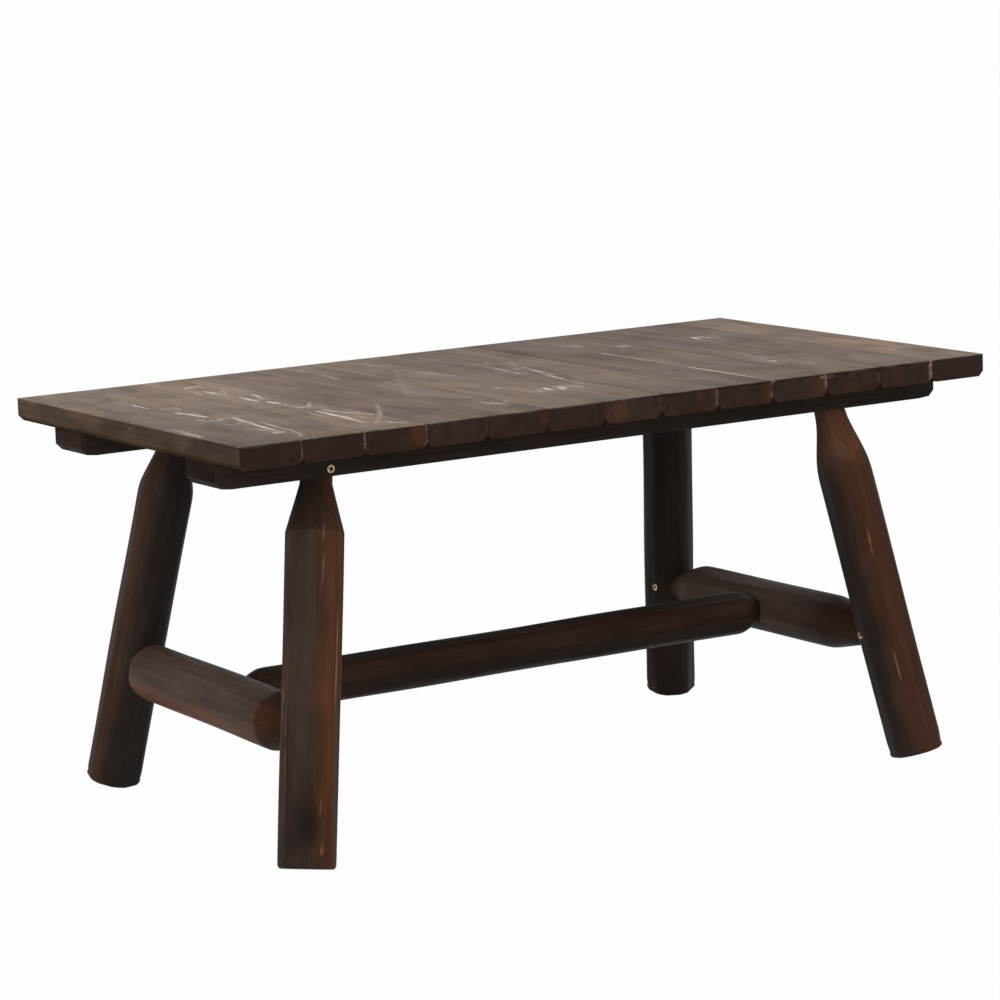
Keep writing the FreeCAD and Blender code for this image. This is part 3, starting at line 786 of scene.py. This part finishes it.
# %% [markdown]
# The legs and stretchers are peeled logs, so none is a true cylinder: each keeps low lobes, long flats
# where the bark was shaved off and drying checks, and its ends are cut to cones. A displaced cylinder
# could give bumps, but not flats with crisp wavy borders. Here the radius of each point comes from the
# profile, and is then cut by the flats.

# %% Helpers that shape and mark a log
AROUND = 120
# Within this of its ends, a log keeps the crisp profile
CRISP_END = 0.004
# A crisp shoulder has extra loops this far on both sides
SHOULDER_EDGE = 0.0012


def ripple(chance, along, turn, height):
    """A few long waves round and along a log."""
    total = np.zeros_like(along + turn)
    for lobes, wave_length in ((2, 0.62), (3, 0.41), (1, 0.35), (4, 0.23)):
        start, twist = chance.uniform(0, 2 * math.pi, 2)
        total += np.cos(lobes * turn + twist) * np.sin(2 * math.pi * along / wave_length + start)
    return total * height / 4


def angle_from(turn, degrees):
    """Signed angle between a point's turn and a direction, in radians."""
    return (turn - math.radians(degrees) + math.pi) % (2 * math.pi) - math.pi


def log_radii(profile, stations, length, rounding):
    """Radius at each station, with the corners of the profile rounded."""
    shifts = np.linspace(-rounding, rounding, 9)
    shifted = [np.interp(np.clip(stations + shift, 0, length), *zip(*profile)) for shift in shifts]
    at_end = (stations < CRISP_END) | (stations > length - CRISP_END)
    return np.where(at_end, np.interp(stations, *zip(*profile)), np.mean(shifted, axis=0))


def shaved(chance, radius, radii, body, along, turn, flats):
    """Cuts long flats with wavy borders. Flats: direction in degrees and depth."""
    for direction, depth in flats:
        wave = 1 + 0.45 * np.sin(2 * math.pi * along / chance.uniform(0.16, 0.3) + chance.uniform(0, 6))
        off = angle_from(turn, direction)
        plane = (radii[:, None] - depth * wave * body) / np.maximum(np.cos(off), 0.05)
        radius = np.where(np.abs(off) < 1.2, np.minimum(radius, plane), radius)
    return radius


def log_marks(along, turn, patches, shoulder):
    """Values to store. Patches: direction and reach in degrees, middle and reach along, strength.
    Shoulder: its place, the side of it that has another tone, and that tone."""
    facts = {kind: np.zeros_like(along) for kind in ("worn", "ruddy", "burnt", "bare", "tone", "cut_end")}
    for kind, marks in patches.items():
        for direction, reach, middle, reach_along, strength in marks:
            wavy = 7 * np.sin(2 * math.pi * along / 0.13 + direction) + 4 * np.sin(along * 118)
            off = angle_from(turn, direction) + np.radians(wavy) * min(1, reach / 20)
            far = (off / math.radians(reach)) ** 4 + ((along - middle) / reach_along) ** 4
            spot = strength * np.exp(-far)
            facts[kind] = facts[kind] + spot if kind == "tone" else np.maximum(facts[kind], spot)
    if shoulder:
        place, side, tone = shoulder
        facts["tone"] += tone * (side * (along - place) > SHOULDER_EDGE / 2)
    return facts


print("points round a log:", AROUND)

# %% Helper that makes a peeled log
LOG_STEP = 0.006
RIPPLE_HEIGHT = 0.0010
# A check closes over this length, and the pith lies this far off the axis at most
CHECK_TAPER = 0.02
PITH_ASIDE = 0.006
# The foot is closed by smaller loops, as shares of the radius
FOOT_LOOPS = np.array([0.25, 0.55, 0.85])


def with_foot(values):
    return np.concatenate([values[:1].repeat(len(FOOT_LOOPS), 0), values])


def make_log(name, ends, up, profile, shoulder, seed, rounding, flats, patches, check):
    """Profile: distance and radius pairs. Check: its direction, where it begins and ends, and its depth.
    Directions are in degrees and start from up."""
    start, end = np.array(ends, float)
    length = np.linalg.norm(end - start)
    axis = (end - start) / length
    first = np.array(up, float) - np.dot(up, axis) * axis
    first /= np.linalg.norm(first)
    second = np.cross(axis, first)
    chance = np.random.default_rng(seed)
    knees = [place for place, _ in profile] + [length]
    if shoulder:
        knees += [shoulder[0] - SHOULDER_EDGE, shoulder[0] + SHOULDER_EDGE]
    stations = np.unique(np.round(np.concatenate([np.arange(0, length, LOG_STEP), knees]), 5))
    radii = log_radii(profile, stations, length, rounding)
    turns = np.linspace(0, 2 * math.pi, AROUND, endpoint=False)
    along, turn = np.meshgrid(stations, turns, indexing="ij")
    radius = radii[:, None] + np.zeros_like(along)
    body = np.clip((radius / max(full for _, full in profile) - 0.7) / 0.3, 0, 1)
    radius = radius + body * ripple(chance, along, turn, RIPPLE_HEIGHT)
    radius = shaved(chance, radius, radii, body, along, turn, flats)
    facts = log_marks(along, turn, patches, shoulder)
    direction, begin, finish, depth = check
    column = np.argmin(np.abs(angle_from(turns, direction)))
    taper = np.clip(np.minimum(stations - begin, finish - stations) / CHECK_TAPER, 0, 1)
    radius[:, column] -= depth * taper
    facts["burnt"][:, column] = np.maximum(facts["burnt"][:, column], taper)
    radius, along, turn = with_foot(radius), with_foot(along), with_foot(turn)
    radius[:len(FOOT_LOOPS)] *= FOOT_LOOPS[:, None]
    facts = {kind: with_foot(values) for kind, values in facts.items()}
    facts["cut_end"][:len(FOOT_LOOPS) + 1] = 1
    across, upward = radius * np.cos(turn), radius * np.sin(turn)
    pith = chance.uniform(-PITH_ASIDE, PITH_ASIDE, 2)
    facts["tree"] = np.stack([across + pith[0], upward + pith[1], along + seed * 2.1], -1)
    loops = start + axis * along[..., None] + first * across[..., None] + second * upward[..., None]
    return skin(name, loops, facts)


print("log helper ready")

# %% [markdown]
# Each leg leans outwards both ways, and each by a different amount, as the photograph shows. Below its
# rail a leg is cut to a neck that fits the round hole in the rail. The front left leg has a crisp
# shoulder, the front right one a soft bottle shape, and the back ones lie between these.

# %% Four legs
RAIL_MIDDLE = 0.411
RAIL_UNDERSIDE = 0.397
LEG_HEAD = Vector((0.329, 0.154, RAIL_MIDDLE))
FRAME_SHIFT = Vector((-0.0035, 0, 0))
LEG_RADIUS = 0.030
NECK_RADIUS = 0.017
TENON_TOP = 0.4245
FOOT_EASE = 0.003
# How much thinner a leg is at its first places, which rounds the edge of its foot
FOOT_ROUND = ((0, FOOT_EASE), (0.0009, 0.0014), (FOOT_EASE, 0.0002), (0.008, 0))
FRONT = (0, -1, 0)
# The sides on which a leg stands, and how far it leans along and across on its way down
LEG_SPLAY = {
    "front_left": (-1, -1, 0.081, 0.085), "front_right": (1, -1, 0.0572, 0.0835),
    "back_left": (-1, 1, 0.0514, 0.101), "back_right": (1, 1, 0.048, 0.077),
}
LEG_SETBACK = {"back_left": 0.0022}


def leg_slope(corner):
    side_x, side_y, along, across = LEG_SPLAY[corner]
    return Vector((side_x * along / RAIL_MIDDLE, side_y * across / RAIL_MIDDLE, -1))


def leg_point(corner, height):
    """Point on a leg's axis at a height above the floor."""
    side_x, side_y = LEG_SPLAY[corner][:2]
    reach = LEG_HEAD.x - LEG_SETBACK.get(corner, 0)
    head = Vector((side_x * reach, side_y * LEG_HEAD.y, RAIL_MIDDLE))
    return head + FRAME_SHIFT + leg_slope(corner) * (RAIL_MIDDLE - height)


def make_leg(corner, radius, neck, cone, shoulder_tone=0, **shape):
    """Neck and cone: how long they are below the rail."""
    lean = math.sqrt(1 - leg_slope(corner).normalized().z ** 2)
    foot = leg_point(corner, (LEG_RADIUS - FOOT_EASE) * lean)
    top = leg_point(corner, TENON_TOP)
    neck_start = (leg_point(corner, RAIL_UNDERSIDE) - foot).length - neck
    profile = [(place, radius - thinner) for place, thinner in FOOT_ROUND]
    profile += [(neck_start - cone, radius), (neck_start, NECK_RADIUS), ((top - foot).length, NECK_RADIUS)]
    shoulder = (neck_start - cone, 1, shoulder_tone) if shoulder_tone else None
    leg = make_log(corner + "_log", (foot, top), FRONT, profile, shoulder, **shape)
    dress(leg, logs_pine, "logs", corner + "_leg")
    return leg


LEG_SHAPES = {
    "front_left": dict(
        seed=5, radius=0.0304, neck=0.011, cone=0.050, rounding=0.0010, shoulder_tone=-0.2,
        flats=[(-95, 0.0008), (-52, 0.0010), (-12, 0.0009), (35, 0.0010), (120, 0.0010)],
        patches={
            "ruddy": [(24, 42, 0.18, 0.30, 0.9), (-112, 18, 0.2, 0.3, 0.8)],
            "burnt": [(-42, 26, 0.045, 0.026, 0.85)],
            "bare": [(27, 2.2, 0.215, 0.045, 0.8), (-2, 2.4, 0.020, 0.004, 0.4),
                     (-87, 1.6, 0.122, 0.034, 0.35)],
            "worn": [(-13, 3.0, 0.345, 0.012, 0.4), (-12, 2.6, 0.306, 0.016, 0.45),
                     (-6, 2.2, 0.062, 0.010, 0.4), (-101, 3.0, 0.167, 0.020, 0.5)],
            "tone": [(-60, 80, 0.375, 0.035, -0.12), (-108, 24, 0.2, 0.3, -0.42),
                     (-30, 100, 0.03, 0.06, -0.2), (30, 36, 0.2, 0.3, 0.15)],
        },
        check=(27, 0.17, 0.26, 0.0004),
    ),
    "front_right": dict(
        seed=6, radius=0.0305, neck=0.015, cone=0.051, rounding=0.014,
        flats=[(-100, 0.0010), (-40, 0.0010), (10, 0.0010), (60, 0.0012)],
        patches={
            "burnt": [(-90, 46, 0.15, 0.22, 0.55)],
            "ruddy": [(5, 48, 0.22, 0.40, 0.7), (-30, 90, 0.38, 0.04, 0.55)],
            "bare": [(-21, 2.2, 0.245, 0.014, 0.4), (-30, 2.0, 0.102, 0.016, 0.4)],
            "worn": [(-24, 12, 0.352, 0.010, 0.22)],
            # The second tone makes the neck lighter wood, with a painted highlight at its shoulder
            "tone": [(-30, 120, 0.16, 0.16, -0.06), (-20, 70, 0.372, 0.032, 1.15)],
        },
        check=(150, 0.05, 0.20, 0.0010),
    ),
    "back_left": dict(
        seed=7, radius=0.0305, neck=0.010, cone=0.045, rounding=0.009,
        flats=[(-100, 0.0010), (-45, 0.0010), (20, 0.0010)],
        patches={"burnt": [(10, 70, 0.2, 0.5, 0.7)], "ruddy": [(-82, 34, 0.2, 0.4, 0.3)]},
        check=(140, 0.08, 0.26, 0.0010),
    ),
    "back_right": dict(
        seed=8, radius=0.0294, neck=0.008, cone=0.046, rounding=0.008,
        flats=[(-90, 0.0010), (-30, 0.0010), (30, 0.0010)],
        patches={"burnt": [(-40, 100, 0.2, 0.5, 0.6)], "ruddy": [(-75, 20, 0.03, 0.04, 0.4)]},
        check=(160, 0.08, 0.22, 0.0010),
    ),
}
legs = {corner: make_leg(corner, **shape) for corner, shape in LEG_SHAPES.items()}
print("legs:", {corner: tuple(round(size, 3) for size in leg.dimensions) for corner, leg in legs.items()})

# %% [markdown]
# Two cross stretchers join the legs of each end, and a thinner long stretcher joins the cross
# stretchers. Their ends are coned down to the tenons, and at the back left the cone is short and steep.

# %% Three stretchers
STRETCHER_HEIGHT = 0.141
CROSS_TENON, LONG_TENON = 0.016, 0.014
# How far from the axis of a leg, or of a cross stretcher, the cones leave the tenons
CROSS_CONE, LONG_CONE = 0.0345, 0.0313
# A stretcher stops short of these axes, and its cones start with a small step
TENON_STOP = 0.010
STEP_UP, STEP_RUN = 0.003, 0.0004
UP = (0, 0, 1)


def make_stretcher(name, start, end, radius, tenon, cones, shoulder_tone=0, **shape):
    """Cones: for both ends, where the cone leaves the tenon and where it is full, from the ends."""
    length = (end - start).length - 2 * TENON_STOP
    stop = (end - start).normalized() * TENON_STOP
    (begin, full), (finish, full_end) = np.array(cones) - TENON_STOP
    profile = [
        (0, tenon), (begin, tenon), (begin + STEP_RUN, tenon + STEP_UP), (full, radius),
        (length - full_end, radius), (length - finish, tenon + STEP_UP),
        (length - finish + STEP_RUN, tenon), (length, tenon),
    ]
    shoulder = (full, -1, shoulder_tone) if shoulder_tone else None
    ends = (start + stop, end - stop)
    log = make_log(name + "_log", ends, UP, profile, shoulder, **shape)
    dress(log, logs_pine, "logs", name)
    return log


def joined(side):
    """Where a cross stretcher meets the axes of its two legs."""
    return leg_point("front_" + side, STRETCHER_HEIGHT), leg_point("back_" + side, STRETCHER_HEIGHT)


def middle_of(side):
    """Where a cross stretcher's axis crosses the middle of the bench."""
    front, back = joined(side)
    return front + (back - front) * (-front.y / (back.y - front.y))


left_cross = make_stretcher(
    "left_cross_stretcher", *joined("left"), radius=0.0314, tenon=CROSS_TENON,
    cones=((CROSS_CONE, 0.068), (CROSS_CONE, 0.053)), seed=21, rounding=0.003, shoulder_tone=-0.35,
    flats=[(-80, 0.0012), (-30, 0.0010), (30, 0.0012)],
    patches={
        "ruddy": [(-90, 60, 0.025, 0.036, 0.9), (-130, 30, 0.25, 0.2, 0.7)],
        "burnt": [(100, 50, 0.2, 0.4, 0.7), (-60, 150, 0.392, 0.014, 0.9)],
        # Tone: the front cone darker, painted sheen on the upper side, painted light on the lower left
        # side
        "tone": [(-60, 120, 0.02, 0.04, -0.4), (-35, 70, 0.27, 0.22, 0.95), (-120, 50, 0.25, 0.2, 0.4)],
    },
    check=(120, 0.12, 0.28, 0.0012),
)
right_cross = make_stretcher(
    "right_cross_stretcher", *joined("right"), radius=0.030, tenon=CROSS_TENON,
    cones=((CROSS_CONE, 0.088), (CROSS_CONE, 0.070)), seed=22, rounding=0.006,
    flats=[(-80, 0.0012), (-20, 0.0012), (40, 0.0012)],
    patches={
        "burnt": [(-60, 60, 0.22, 0.3, 0.3)], "ruddy": [(-60, 60, 0.02, 0.05, 0.5)],
        # Tone: painted sheen on the upper side, and the front end darker
        "tone": [(-45, 70, 0.27, 0.17, 1.4), (-60, 90, 0.04, 0.06, -0.45)],
    },
    check=(130, 0.1, 0.3, 0.0012),
)
long_log = make_stretcher(
    "long_stretcher", middle_of("left"), middle_of("right"), radius=0.0244, tenon=LONG_TENON,
    cones=((LONG_CONE, 0.050), (LONG_CONE, 0.050)), seed=23, rounding=0.006,
    flats=[(70, 0.0012), (20, 0.0010), (115, 0.0010)],
    patches={
        "ruddy": [(60, 50, 0.35, 0.5, 0.25)], "tone": [(60, 170, 0.3, 1.0, -0.26)],
        "burnt": [(110, 30, 0.35, 0.5, 0.5), (20, 20, 0.25, 0.15, 0.4)],
    },
    check=(-60, 0.15, 0.42, 0.0010),
)
print("stretchers:", left_cross.name, right_cross.name, long_log.name)

# %% [markdown]
# Brass-yellow screws lock the joints. They are small but they catch the eye, so each has a countersunk
# head with a cross recess and a threaded shank. A boolean could cut the recess, but pushing the head's
# points down gives a clean mesh.

# %% Screw shape
SCREW_LENGTH = 0.040
HEAD_RADIUS = 0.0043
SHANK_RADIUS = 0.0019
THREAD_DEPTH = 0.0004
THREAD_PITCH = 0.0018
RECESS_LONG, RECESS_WIDE, RECESS_DEEP = 0.0056, 0.0019, 0.0020
RECESS_SLOPES = (0.00025, 0.0004)
DOME_HEIGHT = 0.00035
TIP_LENGTH = 0.006
SHANK_END, SHANK_STEP = 0.0031, 0.0003
# Radius and depth down the cone under the head
HEAD_CONE = ((SHANK_RADIUS, SHANK_END), (0.0030, 0.0018), (0.0041, 0.0004), (HEAD_RADIUS, 0.0001))
SCREW_AROUND = 48


def screw_loops(head, outwards, twist):
    """Loops from the tip to the middle of the head, for a screw whose head faces outwards."""
    outwards = np.array(outwards, float) / np.linalg.norm(outwards)
    helper = np.array((0, 0, 1)) if abs(outwards[2]) < 0.8 else np.array((1, 0, 0))
    first = np.cross(outwards, helper)
    first /= np.linalg.norm(first)
    second = np.cross(outwards, first)
    turn = np.linspace(0, 2 * math.pi, SCREW_AROUND, endpoint=False)
    depth = np.arange(SCREW_LENGTH, SHANK_END, -SHANK_STEP)[:, None]
    point = np.interp(depth, [SCREW_LENGTH - TIP_LENGTH, SCREW_LENGTH], [1, 0.2])
    thread = THREAD_DEPTH * np.abs(2 * ((depth / THREAD_PITCH + turn / (2 * math.pi)) % 1) - 1)
    shank = point * (SHANK_RADIUS - THREAD_DEPTH + 2 * thread)
    cone, cone_depth = np.array(HEAD_CONE).T[..., None] + 0 * turn
    share = np.linspace(0.97, 0.02, 24)[:, None] + 0 * turn
    across = np.abs(HEAD_RADIUS * share * np.cos(turn + twist))
    upright = np.abs(HEAD_RADIUS * share * np.sin(turn + twist))
    inside = np.clip((RECESS_WIDE / 2 - np.minimum(across, upright)) / RECESS_SLOPES[0], 0, 1)
    inside = inside * np.clip((RECESS_LONG / 2 - np.maximum(across, upright)) / RECESS_SLOPES[1], 0, 1)
    dome = DOME_HEIGHT * (1 - share ** 2) - RECESS_DEEP * inside
    radius = np.concatenate([shank, cone, HEAD_RADIUS * share])[..., None]
    rise = np.concatenate([0 * turn - depth, -cone_depth, dome])[..., None]
    spokes = first * np.cos(turn)[:, None] + second * np.sin(turn)[:, None]
    return np.array(head) + spokes * radius + outwards * rise


print("points in a screw:", screw_loops((0, 0, 0), (0, 0, 1), 0).size // 3)

# %% [markdown]
# The screws are plated in yellow and smudged by handling, and one is tarnished and darkened with painted
# shade. A plain metal would look new, so noise mixes a duller yellow in, and a stored value says which
# screw is tarnished and painted dark.

# %% Brass finish
SMUDGES_PER_METRE = (900, 900, 900)
YELLOW, DULL_YELLOW, TARNISH_AND_SHADE = (0.58, 0.46, 0.26), (0.28, 0.21, 0.11), (0.014, 0.014, 0.009)
brass, tree = empty_material("screw_brass")
where = put(tree, "TexCoord").outputs["Object"]
smudge = cloud(tree, where, SMUDGES_PER_METRE, 3.0)
brass_colour = tint(tree, fade(tree, smudge, 0.35, 0.7), YELLOW, DULL_YELLOW)
# One screw is made near black and dull: tarnish with painted shade
brass_colour = tint(tree, fact(tree, "tarnish_and_shade"), brass_colour, TARNISH_AND_SHADE)
brass_rough = sum_of(tree, "MAXIMUM", fade(tree, smudge, 0.3, 0.7, 0.28, 0.5), fact(tree, "tarnish_and_shade"))
finish = {"Base Color": brass_colour, "Metallic": 1.0, "Roughness": brass_rough}
put(tree, "OutputMaterial", {"Surface": put(tree, "BsdfPrincipled", finish).outputs[0]})
print("material:", brass.name)

# %% [markdown]
# Each head is placed where a ray from outside meets the wood, because the logs are not true cylinders,
# and a head at the measured radius could float or sink.

# %% Screws in their places
SCREW_PROUD = 0.0002
RAY_START = 0.08
DOWN = (0, 0, -1)


def surface_of(piece):
    return BVHTree.FromPolygons([vertex.co for vertex in piece.data.vertices],
                                [polygon.vertices for polygon in piece.data.polygons])


def on_skin(skin_tree, aim, outwards):
    """The point where a ray from outside, towards a point in the wood, meets the surface."""
    outwards = Vector(outwards).normalized()
    hit = skin_tree.ray_cast(Vector(aim) + outwards * RAY_START, -outwards)[0]
    return hit + outwards * SCREW_PROUD


def make_screws(name, places, tarnished_and_shaded=None):
    """One mesh for a set of screws, from head places and the directions they face."""
    loops = np.array([screw_loops(*place, 0.35 + number * 0.9) for number, place in enumerate(places)])
    tarnish_and_shade = np.zeros((len(places), loops[0].size // 3))
    if tarnished_and_shaded is not None:
        tarnish_and_shade[tarnished_and_shaded] = 0.9
    dress(skin(name + "_set", loops, {"tarnish_and_shade": tarnish_and_shade}), brass, "screws", name)


RAIL_SCREW_HEIGHT = 0.405
BOARD_SCREW_REACH = 0.130
LEG_SCREW_INSET = 0.010
rail_places, leg_places, long_places = [], [], []
for corner, (side_x, side_y, _, _) in LEG_SPLAY.items():
    rail_skin = surface_of(rails[0] if side_y < 0 else rails[1])
    aim = leg_point(corner, RAIL_SCREW_HEIGHT)
    rail_places.append((on_skin(rail_skin, aim, (0, side_y, 0)), (0, side_y, 0)))
    aim = leg_point(corner, STRETCHER_HEIGHT) - Vector((0, side_y * LEG_SCREW_INSET, 0))
    leg_places.append((on_skin(surface_of(legs[corner]), aim, (-side_x, 0, 0)), (-side_x, 0, 0)))
for cross, side in ((left_cross, "left"), (right_cross, "right")):
    long_places.append((on_skin(surface_of(cross), middle_of(side), DOWN), DOWN))
# The front right rail screw is tarnished and darkened with painted shade
make_screws("rail_lock_screws", rail_places, tarnished_and_shaded=list(LEG_SPLAY).index("front_right"))
make_screws("leg_lock_screws", leg_places)
make_screws("long_stretcher_lock_screws", long_places)
for rail, side_y in (("front_rail", -1), ("back_rail", 1)):
    under = []
    for name in board_names:
        low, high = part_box(name)
        head = ((low[0] + high[0]) / 2, side_y * BOARD_SCREW_REACH, RAIL_UNDERSIDE - SCREW_PROUD)
        under.append((head, DOWN))
    make_screws(rail + "_board_screws", under)
print("screws:", len(rail_places) + len(leg_places) + len(long_places) + 2 * len(board_names))
